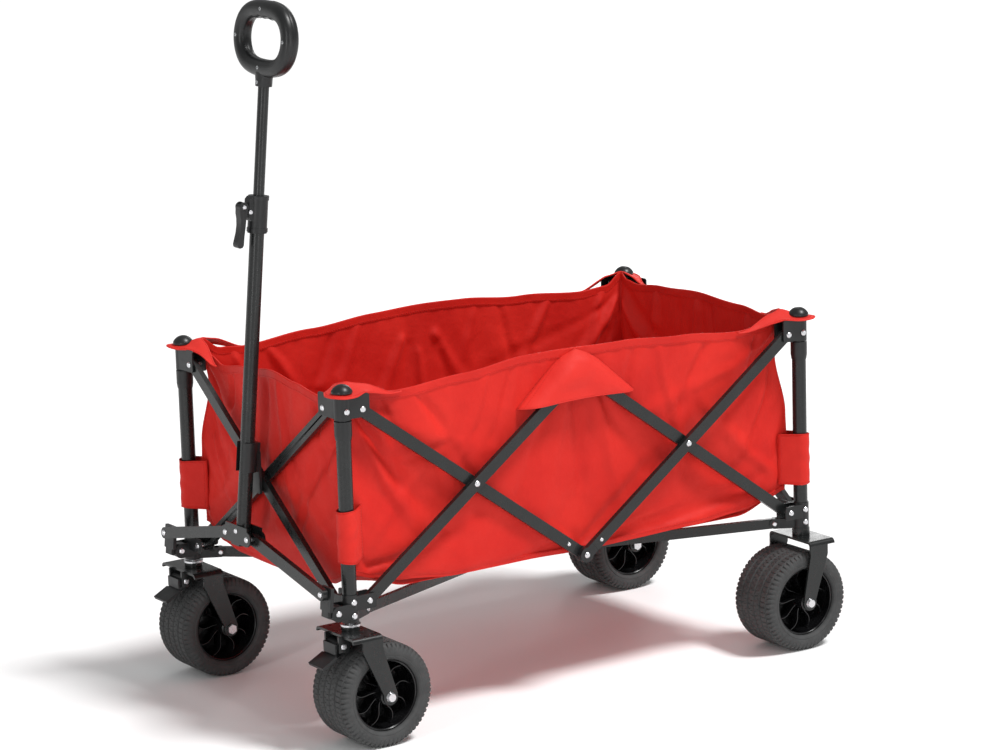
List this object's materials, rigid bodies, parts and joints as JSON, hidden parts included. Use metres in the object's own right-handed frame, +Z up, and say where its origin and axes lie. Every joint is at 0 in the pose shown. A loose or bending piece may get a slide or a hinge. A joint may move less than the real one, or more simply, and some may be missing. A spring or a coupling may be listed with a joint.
{
  "type": "folding pull wagon",
  "caption": "Folding fabric-tub wagon on a crossed-bar frame, with swivel casters in front, fixed wheels behind and a tilting telescopic pull handle.",
  "frame": {"origin": "centre of the footprint on the ground, frame open and handle parked", "axes": "+Z up, -Y towards the pulled end, +X to the wagon's left as it is pulled"},
  "size_m": [0.6222, 1.0306, 1.16],
  "materials": {
    "fabric": "woven polyester, slight sheen",
    "frame": "satin powder coat",
    "inner_tube": "satin powder coat",
    "plastic": "fine moulded texture",
    "grip": "soft satin",
    "rim": "gloss moulded",
    "tyre": "matte rubber",
    "zinc": "bright zinc plate"
  },
  "bodies": {
    "front_left_low": {"post_tube_front_left": "frame", "lower_bracket_front_left": "plastic", "basket": "fabric"},
    "front_left_top": {"inner_tube_front_left": "inner_tube", "top_bracket_front_left": "plastic"},
    "front_right_low": {"post_tube_front_right": "frame", "lower_bracket_front_right": "plastic"},
    "front_right_top": {"inner_tube_front_right": "inner_tube", "top_bracket_front_right": "plastic"},
    "rear_left_low": {"post_tube_rear_left": "frame", "lower_bracket_rear_left": "plastic", "rear_fork_left": "frame"},
    "rear_left_top": {"inner_tube_rear_left": "inner_tube", "top_bracket_rear_left": "plastic"},
    "rear_right_low": {"post_tube_rear_right": "frame", "lower_bracket_rear_right": "plastic", "rear_fork_right": "frame"},
    "rear_right_top": {"inner_tube_rear_right": "inner_tube", "top_bracket_rear_right": "plastic"},
    "end_bar_front_outer": {"end_bar_front_outer": "frame"},
    "end_bar_front_inner": {"end_bar_front_inner": "frame"},
    "end_bar_rear_outer": {"end_bar_rear_outer": "frame"},
    "end_bar_rear_inner": {"end_bar_rear_inner": "frame"},
    "side_bar_left_a": {"side_bar_left_a": "frame"},
    "side_bar_left_b": {"side_bar_left_b": "frame"},
    "side_bar_left_c": {"side_bar_left_c": "frame"},
    "side_bar_left_d": {"side_bar_left_d": "frame"},
    "side_bar_right_a": {"side_bar_right_a": "frame"},
    "side_bar_right_b": {"side_bar_right_b": "frame"},
    "side_bar_right_c": {"side_bar_right_c": "frame"},
    "side_bar_right_d": {"side_bar_right_d": "frame"},
    "handle_clip": {"handle_clip": "plastic"},
    "link_block_left": {"link_block_left": "plastic"},
    "link_block_right": {"link_block_right": "plastic"},
    "link_bar_left": {"link_bar_left": "frame"},
    "link_bar_right": {"link_bar_right": "frame"},
    "clamp_lever": {"clamp_lever": "plastic"},
    "floor_hub": {"floor_hub": "frame"},
    "handle": {"handle_bracket": "frame", "handle_lower_tube": "frame", "clamp_collar": "plastic"},
    "handle_upper": {"handle_upper_tube": "frame", "grip_front": "grip", "grip_back": "grip"},
    "floor_strut_front_left": {"floor_strut_front_left": "frame"},
    "floor_strut_front_right": {"floor_strut_front_right": "frame"},
    "floor_strut_rear_left": {"floor_strut_rear_left": "frame"},
    "floor_strut_rear_right": {"floor_strut_rear_right": "frame"},
    "caster_left": {"caster_fork_left": "frame"},
    "brake_pedal_left": {"brake_pedal_left": "plastic"},
    "caster_right": {"caster_fork_right": "frame"},
    "brake_pedal_right": {"brake_pedal_right": "plastic"},
    "wheel_front_left": {"tyre_front_left": "tyre", "rim_front_left": "rim"},
    "wheel_front_right": {"tyre_front_right": "tyre", "rim_front_right": "rim"},
    "wheel_rear_left": {"tyre_rear_left": "tyre", "rim_rear_left": "rim"},
    "wheel_rear_right": {"tyre_rear_right": "tyre", "rim_rear_right": "rim"}
  },
  "joints": [
    {"name": "fold", "type": "hinge", "parent": "front_left_low", "child": "end_bar_front_outer", "pos_m": [0.211, -0.44769, 0.234], "axis": [0, 1, 0], "range_deg": [0, 34], "deforming": ["basket"]},
    {"name": "fold_front_inner", "type": "hinge", "parent": "end_bar_front_outer", "child": "end_bar_front_inner", "pos_m": [0, -0.44769, 0.3885], "axis": [0, 1, 0], "range_deg": [-68.01, 0]},
    {"name": "fold_front_right_top", "type": "hinge", "parent": "end_bar_front_outer", "child": "front_right_top", "pos_m": [-0.211, -0.44769, 0.543], "axis": [0, 1, 0], "range_deg": [-34.01, 0]},
    {"name": "fold_front_left_top", "type": "hinge", "parent": "end_bar_front_inner", "child": "front_left_top", "pos_m": [0.211, -0.44769, 0.543], "axis": [0, 1, 0], "range_deg": [0, 34.01]},
    {"name": "fold_front_right_low", "type": "hinge", "parent": "end_bar_front_inner", "child": "front_right_low", "pos_m": [-0.211, -0.44769, 0.234], "axis": [0, 1, 0], "range_deg": [0, 34.01]},
    {"name": "fold_handle_clip", "type": "hinge", "parent": "end_bar_front_outer", "child": "handle_clip", "pos_m": [0, -0.44769, 0.3885], "axis": [0, 1, 0], "range_deg": [-34.01, 0]},
    {"name": "fold_left_a", "type": "hinge", "parent": "front_left_low", "child": "side_bar_left_a", "pos_m": [0.25, -0.41769, 0.234], "axis": [1, 0, 0], "range_deg": [0, 34.01]},
    {"name": "fold_left_b", "type": "hinge", "parent": "side_bar_left_a", "child": "side_bar_left_b", "pos_m": [0.25, -0.20669, 0.3885], "axis": [1, 0, 0], "range_deg": [-68.01, 0]},
    {"name": "fold_left_c", "type": "hinge", "parent": "side_bar_left_a", "child": "side_bar_left_c", "pos_m": [0.25, 0.00431, 0.543], "axis": [1, 0, 0], "range_deg": [-68.01, 0]},
    {"name": "fold_left_d", "type": "hinge", "parent": "side_bar_left_c", "child": "side_bar_left_d", "pos_m": [0.25, 0.21531, 0.3885], "axis": [1, 0, 0], "range_deg": [0, 68.01]},
    {"name": "fold_rear_left_low", "type": "hinge", "parent": "side_bar_left_c", "child": "rear_left_low", "pos_m": [0.25, 0.42631, 0.234], "axis": [1, 0, 0], "range_deg": [0, 34.01]},
    {"name": "fold_rear_left_top", "type": "hinge", "parent": "side_bar_left_d", "child": "rear_left_top", "pos_m": [0.25, 0.42631, 0.543], "axis": [1, 0, 0], "range_deg": [-34.01, 0]},
    {"name": "fold_right_a", "type": "hinge", "parent": "front_right_low", "child": "side_bar_right_a", "pos_m": [-0.25, -0.41769, 0.234], "axis": [1, 0, 0], "range_deg": [0, 34.01]},
    {"name": "fold_right_b", "type": "hinge", "parent": "side_bar_right_a", "child": "side_bar_right_b", "pos_m": [-0.25, -0.20669, 0.3885], "axis": [1, 0, 0], "range_deg": [-68.01, 0]},
    {"name": "fold_right_c", "type": "hinge", "parent": "side_bar_right_a", "child": "side_bar_right_c", "pos_m": [-0.25, 0.00431, 0.543], "axis": [1, 0, 0], "range_deg": [-68.01, 0]},
    {"name": "fold_right_d", "type": "hinge", "parent": "side_bar_right_c", "child": "side_bar_right_d", "pos_m": [-0.25, 0.21531, 0.3885], "axis": [1, 0, 0], "range_deg": [0, 68.01]},
    {"name": "fold_rear_right_low", "type": "hinge", "parent": "side_bar_right_c", "child": "rear_right_low", "pos_m": [-0.25, 0.42631, 0.234], "axis": [1, 0, 0], "range_deg": [0, 34.01]},
    {"name": "fold_rear_right_top", "type": "hinge", "parent": "side_bar_right_d", "child": "rear_right_top", "pos_m": [-0.25, 0.42631, 0.543], "axis": [1, 0, 0], "range_deg": [-34.01, 0]},
    {"name": "fold_rear_outer", "type": "hinge", "parent": "rear_left_low", "child": "end_bar_rear_outer", "pos_m": [0.211, 0.45631, 0.234], "axis": [0, 1, 0], "range_deg": [0, 34.01]},
    {"name": "fold_rear_inner", "type": "hinge", "parent": "end_bar_rear_outer", "child": "end_bar_rear_inner", "pos_m": [0, 0.45631, 0.3885], "axis": [0, 1, 0], "range_deg": [-68.01, 0]},
    {"name": "handle_tilt", "type": "hinge", "parent": "front_left_low", "child": "link_block_left", "pos_m": [0.25, -0.47569, 0.222], "axis": [1, 0, 0], "range_deg": [0, 80], "deforming": ["handle_clip"]},
    {"name": "tilt_right", "type": "hinge", "parent": "front_right_low", "child": "link_block_right", "pos_m": [-0.25, -0.47569, 0.222], "axis": [1, 0, 0], "range_deg": [0, 80.01]},
    {"name": "link_left", "type": "hinge", "parent": "link_block_left", "child": "link_bar_left", "pos_m": [0.25, -0.49644, 0.25527], "axis": [0, 0.9949, -0.1011], "range_deg": [0, 53.16]},
    {"name": "link_centre", "type": "hinge", "parent": "link_bar_left", "child": "handle", "pos_m": [0.034, -0.49189, 0.30004], "axis": [0, 0.9949, -0.1011], "range_deg": [-53.16, 0]},
    {"name": "link_right", "type": "hinge", "parent": "handle", "child": "link_bar_right", "pos_m": [-0.034, -0.49189, 0.30004], "axis": [0, 0.9949, -0.1011], "range_deg": [-53.16, 0]},
    {"name": "clamp_lever", "type": "hinge", "parent": "handle", "child": "clamp_lever", "pos_m": [0, -0.46742, 0.8353], "axis": [1, 0, 0], "range_deg": [-100, 0]},
    {"name": "handle_slide", "type": "slide", "parent": "handle", "child": "handle_upper", "axis": [0, 0.1011, 0.9949], "range_m": [-0.165, 0.15]},
    {"name": "strut_front_left", "type": "hinge", "parent": "front_left_low", "child": "floor_strut_front_left", "pos_m": [0.22774, -0.40744, 0.212], "axis": [0.8751, 0.484, 0], "range_deg": [0, 78.21]},
    {"name": "hub_level", "type": "hinge", "parent": "floor_strut_front_left", "child": "floor_hub", "pos_m": [0.03388, -0.05695, 0.1875], "axis": [0.8751, 0.484, 0], "range_deg": [-78.21, 0]},
    {"name": "strut_front_right", "type": "hinge", "parent": "front_right_low", "child": "floor_strut_front_right", "pos_m": [-0.22774, -0.40744, 0.212], "axis": [0.8751, -0.484, 0], "range_deg": [0, 78.21]},
    {"name": "strut_rear_left", "type": "hinge", "parent": "rear_left_low", "child": "floor_strut_rear_left", "pos_m": [0.22774, 0.41606, 0.212], "axis": [-0.8751, 0.484, 0], "range_deg": [0, 78.21]},
    {"name": "strut_rear_right", "type": "hinge", "parent": "rear_right_low", "child": "floor_strut_rear_right", "pos_m": [-0.22774, 0.41606, 0.212], "axis": [-0.8751, -0.484, 0], "range_deg": [0, 78.21]},
    {"name": "caster_swivel_left", "type": "hinge", "parent": "front_left_low", "child": "caster_left", "pos_m": [0.25, -0.44769, 0.15], "axis": [0, 0, 1], "continuous": true},
    {"name": "wheel_spin_front_left", "type": "hinge", "parent": "caster_left", "child": "wheel_front_left", "pos_m": [0.25, -0.41269, 0.085], "axis": [1, 0, 0], "continuous": true},
    {"name": "brake_left", "type": "hinge", "parent": "caster_left", "child": "brake_pedal_left", "pos_m": [0.25, -0.47469, 0.171], "axis": [1, 0, 0], "range_deg": [0, 18]},
    {"name": "wheel_spin_rear_left", "type": "hinge", "parent": "rear_left_low", "child": "wheel_rear_left", "pos_m": [0.25, 0.43031, 0.085], "axis": [1, 0, 0], "continuous": true},
    {"name": "caster_swivel_right", "type": "hinge", "parent": "front_right_low", "child": "caster_right", "pos_m": [-0.25, -0.44769, 0.15], "axis": [0, 0, 1], "continuous": true},
    {"name": "wheel_spin_front_right", "type": "hinge", "parent": "caster_right", "child": "wheel_front_right", "pos_m": [-0.25, -0.41269, 0.085], "axis": [1, 0, 0], "continuous": true},
    {"name": "brake_right", "type": "hinge", "parent": "caster_right", "child": "brake_pedal_right", "pos_m": [-0.25, -0.47469, 0.171], "axis": [1, 0, 0], "range_deg": [0, 18]},
    {"name": "wheel_spin_rear_right", "type": "hinge", "parent": "rear_right_low", "child": "wheel_rear_right", "pos_m": [-0.25, 0.43031, 0.085], "axis": [1, 0, 0], "continuous": true}
  ],
  "couplings": [
    {"joint": "fold_front_inner", "follows": "fold", "ratio": -2},
    {"joint": "fold_front_right_top", "follows": "fold", "ratio": -1},
    {"joint": "fold_front_left_top", "follows": "fold", "ratio": 1},
    {"joint": "fold_front_right_low", "follows": "fold", "ratio": 1},
    {"joint": "fold_handle_clip", "follows": "fold", "ratio": -1},
    {"joint": "fold_left_a", "follows": "fold", "ratio": 1},
    {"joint": "fold_left_b", "follows": "fold", "ratio": -2},
    {"joint": "fold_left_c", "follows": "fold", "ratio": -2},
    {"joint": "fold_left_d", "follows": "fold", "ratio": 2},
    {"joint": "fold_rear_left_low", "follows": "fold", "ratio": 1},
    {"joint": "fold_rear_left_top", "follows": "fold", "ratio": -1},
    {"joint": "fold_right_a", "follows": "fold", "ratio": 1},
    {"joint": "fold_right_b", "follows": "fold", "ratio": -2},
    {"joint": "fold_right_c", "follows": "fold", "ratio": -2},
    {"joint": "fold_right_d", "follows": "fold", "ratio": 2},
    {"joint": "fold_rear_right_low", "follows": "fold", "ratio": 1},
    {"joint": "fold_rear_right_top", "follows": "fold", "ratio": -1},
    {"joint": "fold_rear_outer", "follows": "fold", "ratio": 1},
    {"joint": "fold_rear_inner", "follows": "fold", "ratio": -2},
    {"joint": "tilt_right", "follows": "handle_tilt", "ratio": 1},
    {"joint": "link_left", "follows": "fold", "ratio": 1.5632},
    {"joint": "link_centre", "follows": "fold", "ratio": -1.5632},
    {"joint": "link_right", "follows": "fold", "ratio": -1.5632},
    {"joint": "strut_front_left", "follows": "fold", "ratio": 2.3},
    {"joint": "hub_level", "follows": "fold", "ratio": -2.3},
    {"joint": "strut_front_right", "follows": "fold", "ratio": 2.3},
    {"joint": "strut_rear_left", "follows": "fold", "ratio": 2.3},
    {"joint": "strut_rear_right", "follows": "fold", "ratio": 2.3}
  ]
}
